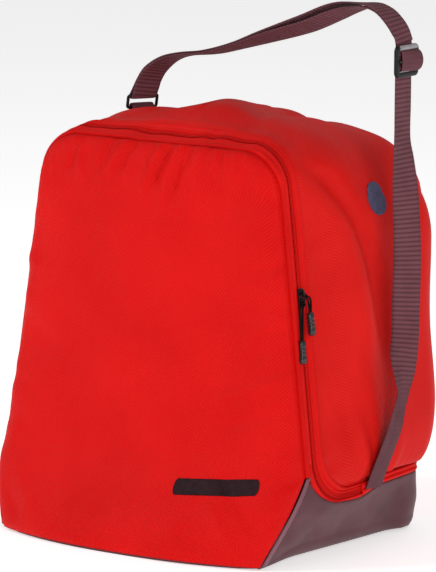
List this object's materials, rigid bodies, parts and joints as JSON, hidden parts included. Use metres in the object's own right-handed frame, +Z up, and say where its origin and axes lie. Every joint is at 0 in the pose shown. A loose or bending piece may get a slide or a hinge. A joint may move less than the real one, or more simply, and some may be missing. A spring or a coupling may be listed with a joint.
{
  "type": "ski boot bag",
  "caption": "Upright padded boot bag with a coated base tub, a zipped front flap that folds down, two zip sliders with cord pulls and an adjustable webbing shoulder strap.",
  "frame": {"origin": "on the floor under the middle of the base", "axes": "+Z up; the front flap faces -Y; +X is the side the strap is sewn to at the bottom"},
  "size_m": [0.4536, 0.3485, 0.59],
  "materials": {
    "base_floor": "coated cloth, satin",
    "base_wall": "coated cloth, satin",
    "base_board": "stiffening board",
    "front_toe_panel": "padded woven polyester, slight sheen",
    "front_mark": "plain print",
    "lower_band_right": "padded woven polyester, slight sheen",
    "lower_band_left": "padded woven polyester, slight sheen",
    "zip_tape_rear": "woven tape",
    "zip_coil_rear": "reversed nylon coil",
    "zip_facing": "padded woven polyester, slight sheen",
    "hood_shell": "padded woven polyester, slight sheen",
    "hem_band_right": "padded woven polyester, slight sheen",
    "hem_band_left": "padded woven polyester, slight sheen",
    "back_panel": "padded woven polyester, slight sheen",
    "zip_end_right": "stop",
    "zip_end_left": "stop",
    "side_mark": "plain print",
    "strap_tab": "ribbed webbing",
    "front_panel": "padded woven polyester, slight sheen",
    "front_strip": "padded woven polyester, slight sheen",
    "zip_tape_front": "woven tape",
    "zip_coil_front": "reversed nylon coil",
    "front_piping": "woven tape",
    "zip_slider_upper": "black, satin",
    "zip_slider_lower": "black, satin",
    "pull_upper_cord": "braided cord",
    "pull_upper_grip": "moulded grip",
    "pull_lower_cord": "braided cord",
    "pull_lower_grip": "moulded grip",
    "strap_webbing": "ribbed webbing",
    "strap_return": "ribbed webbing",
    "strap_ring": "moulded, smooth",
    "adjuster_frame": "moulded, smooth",
    "adjuster_bar": "moulded, smooth",
    "adjuster_loop": "ribbed webbing"
  },
  "bodies": {
    "tub": {"base_floor": "base_floor", "base_wall": "base_wall", "base_board": "base_board", "front_toe_panel": "front_toe_panel", "front_mark": "front_mark", "lower_band_right": "lower_band_right", "lower_band_left": "lower_band_left", "zip_tape_rear": "zip_tape_rear", "zip_coil_rear": "zip_coil_rear", "zip_facing": "zip_facing", "hood_shell": "hood_shell", "hem_band_right": "hem_band_right", "hem_band_left": "hem_band_left", "back_panel": "back_panel", "zip_end_right": "zip_end_right", "zip_end_left": "zip_end_left", "side_mark": "side_mark", "strap_tab": "strap_tab"},
    "flap": {"front_panel": "front_panel", "front_strip": "front_strip", "zip_tape_front": "zip_tape_front", "zip_coil_front": "zip_coil_front", "front_piping": "front_piping"},
    "slider_upper": {"zip_slider_upper": "zip_slider_upper"},
    "slider_lower": {"zip_slider_lower": "zip_slider_lower"},
    "pull_upper": {"pull_upper_cord": "pull_upper_cord", "pull_upper_grip": "pull_upper_grip"},
    "pull_lower": {"pull_lower_cord": "pull_lower_cord", "pull_lower_grip": "pull_lower_grip"},
    "strap": {"strap_webbing": "strap_webbing", "strap_return": "strap_return", "strap_ring": "strap_ring"},
    "adjuster": {"adjuster_frame": "adjuster_frame", "adjuster_bar": "adjuster_bar", "adjuster_loop": "adjuster_loop"}
  },
  "joints": [
    {"name": "flap_fold", "type": "hinge", "parent": "tub", "child": "flap", "pos_m": [0, -0.1125, 0.112], "axis": [1, 0, 0], "range_deg": [0, 100]},
    {"name": "slider_upper_slide", "type": "slide", "parent": "tub", "child": "slider_upper", "axis": [-0.1162, 0, 0.9932], "range_m": [0, 0.075]},
    {"name": "slider_lower_slide", "type": "slide", "parent": "tub", "child": "slider_lower", "axis": [-0.1162, 0, 0.9932], "range_m": [-0.15, 0]},
    {"name": "pull_upper_swing", "type": "hinge", "parent": "slider_upper", "child": "pull_upper", "pos_m": [0.17926, -0.075, 0.2895], "axis": [0, -1, 0], "range_deg": [0, 120]},
    {"name": "pull_lower_swing", "type": "hinge", "parent": "slider_lower", "child": "pull_lower", "pos_m": [0.18036, -0.075, 0.2801], "axis": [0, -1, 0], "range_deg": [0, 45]},
    {"name": "strap_swing", "type": "hinge", "parent": "tub", "child": "strap", "pos_m": [0.2012, 0.031, 0.0648], "axis": [-0.6602, 0.0646, 0.7483], "range_deg": [-8, 12]},
    {"name": "adjuster_slide", "type": "slide", "parent": "strap", "child": "adjuster", "axis": [0, 0, 1], "range_m": [-0.06, 0]}
  ]
}
